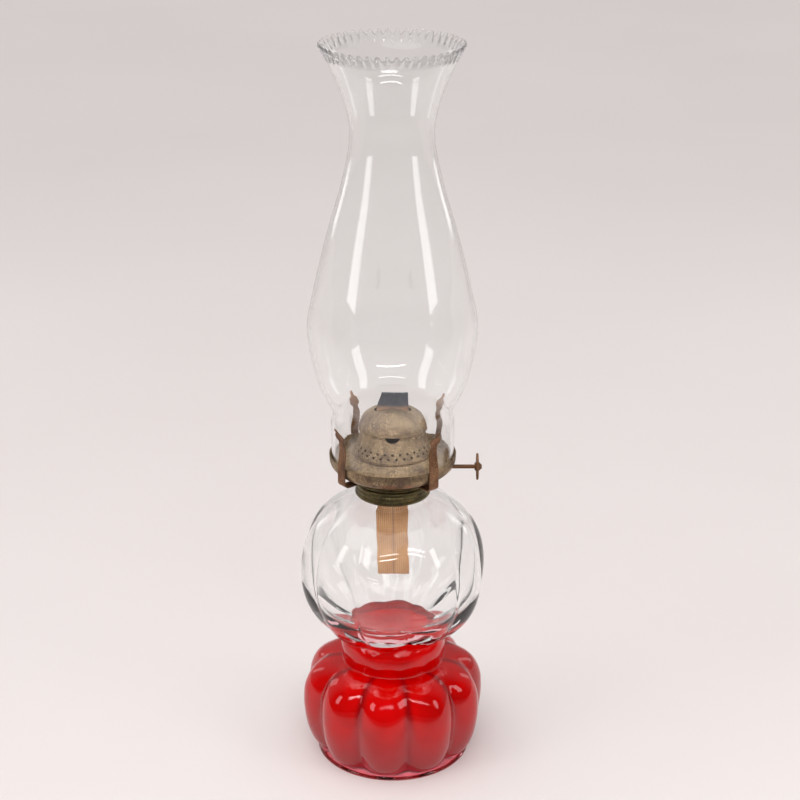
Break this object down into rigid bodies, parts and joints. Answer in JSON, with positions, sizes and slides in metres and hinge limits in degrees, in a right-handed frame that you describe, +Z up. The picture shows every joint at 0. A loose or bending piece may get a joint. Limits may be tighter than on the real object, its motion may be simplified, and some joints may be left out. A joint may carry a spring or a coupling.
{
  "type": "oil lamp",
  "caption": "Flat-wick oil lamp with a ribbed red glass foot, ribbed clear glass font, tarnished brass burner and tall clear chimney with a crimped top.",
  "frame": {"origin": "on the table, on the lamp's axis, in the plane of the foot's base ring", "axes": "+Z up along the lamp's axis, +X out along the wick shaft to the thumb wheel"},
  "size_m": [0.1026, 0.1032, 0.4067],
  "materials": {
    "red_glass": "thick glossy pressed red glass",
    "clear_glass": "clear glossy blown glass",
    "plaster": "dry cream plaster",
    "dark_brass": "dark olive tarnish",
    "tarnished_brass": "dull tarnished",
    "browned_brass": "rust-brown tarnish",
    "wick_cotton": "woven cotton, charred at the top"
  },
  "bodies": {
    "base": {"glass_foot": "red_glass", "glass_font": "clear_glass", "collar_plaster": "plaster", "lamp_collar": "dark_brass"},
    "burner_ring": {"burner_screw": "dark_brass"},
    "burner": {"burner_bowl": "tarnished_brass", "gallery_floor": "tarnished_brass", "air_cone": "tarnished_brass", "wick_tube": "tarnished_brass", "tube_plate": "tarnished_brass", "vent_tube": "tarnished_brass", "shaft_cage": "tarnished_brass", "shaft_bushing": "browned_brass", "prong_rivets": "browned_brass", "chimney_prong_1": "browned_brass", "chimney_prong_2": "browned_brass", "chimney_prong_3": "browned_brass", "chimney_prong_4": "browned_brass"},
    "dome": {"burner_dome": "tarnished_brass"},
    "winder": {"wick_shaft": "browned_brass", "thumb_wheel": "browned_brass", "spur_wheel_1": "tarnished_brass", "spur_wheel_2": "tarnished_brass"},
    "wick": {"wick": "wick_cotton"},
    "chimney": {"chimney": "clear_glass"}
  },
  "joints": [
    {"name": "burner_rise", "type": "slide", "parent": "base", "child": "burner_ring", "axis": [0, 0, 1], "range_m": [0, 0.0064]},
    {"name": "burner_unscrew", "type": "hinge", "parent": "burner_ring", "child": "burner", "pos_m": [0, 0, 0.166], "axis": [0, 0, 1], "range_deg": [0, 1260]},
    {"name": "dome_pull", "type": "slide", "parent": "burner", "child": "dome", "axis": [0, 0, 1], "range_m": [0, 0.012]},
    {"name": "wick_knob_turn", "type": "hinge", "parent": "burner", "child": "winder", "pos_m": [0, -0.00485, 0.1759], "axis": [1, 0, 0], "range_deg": [-181, 60.5]},
    {"name": "wick_feed", "type": "slide", "parent": "burner", "child": "wick", "axis": [0, 0, 1], "range_m": [-0.012, 0.004]},
    {"name": "chimney_lift", "type": "slide", "parent": "burner", "child": "chimney", "axis": [0, 0, 1], "range_m": [0, 0.07]}
  ],
  "couplings": [
    {"joint": "burner_rise", "follows": "burner_unscrew", "m_per_rad": 0.00028648},
    {"joint": "wick_knob_turn", "follows": "wick_feed", "rad_per_m": 263.16}
  ]
}
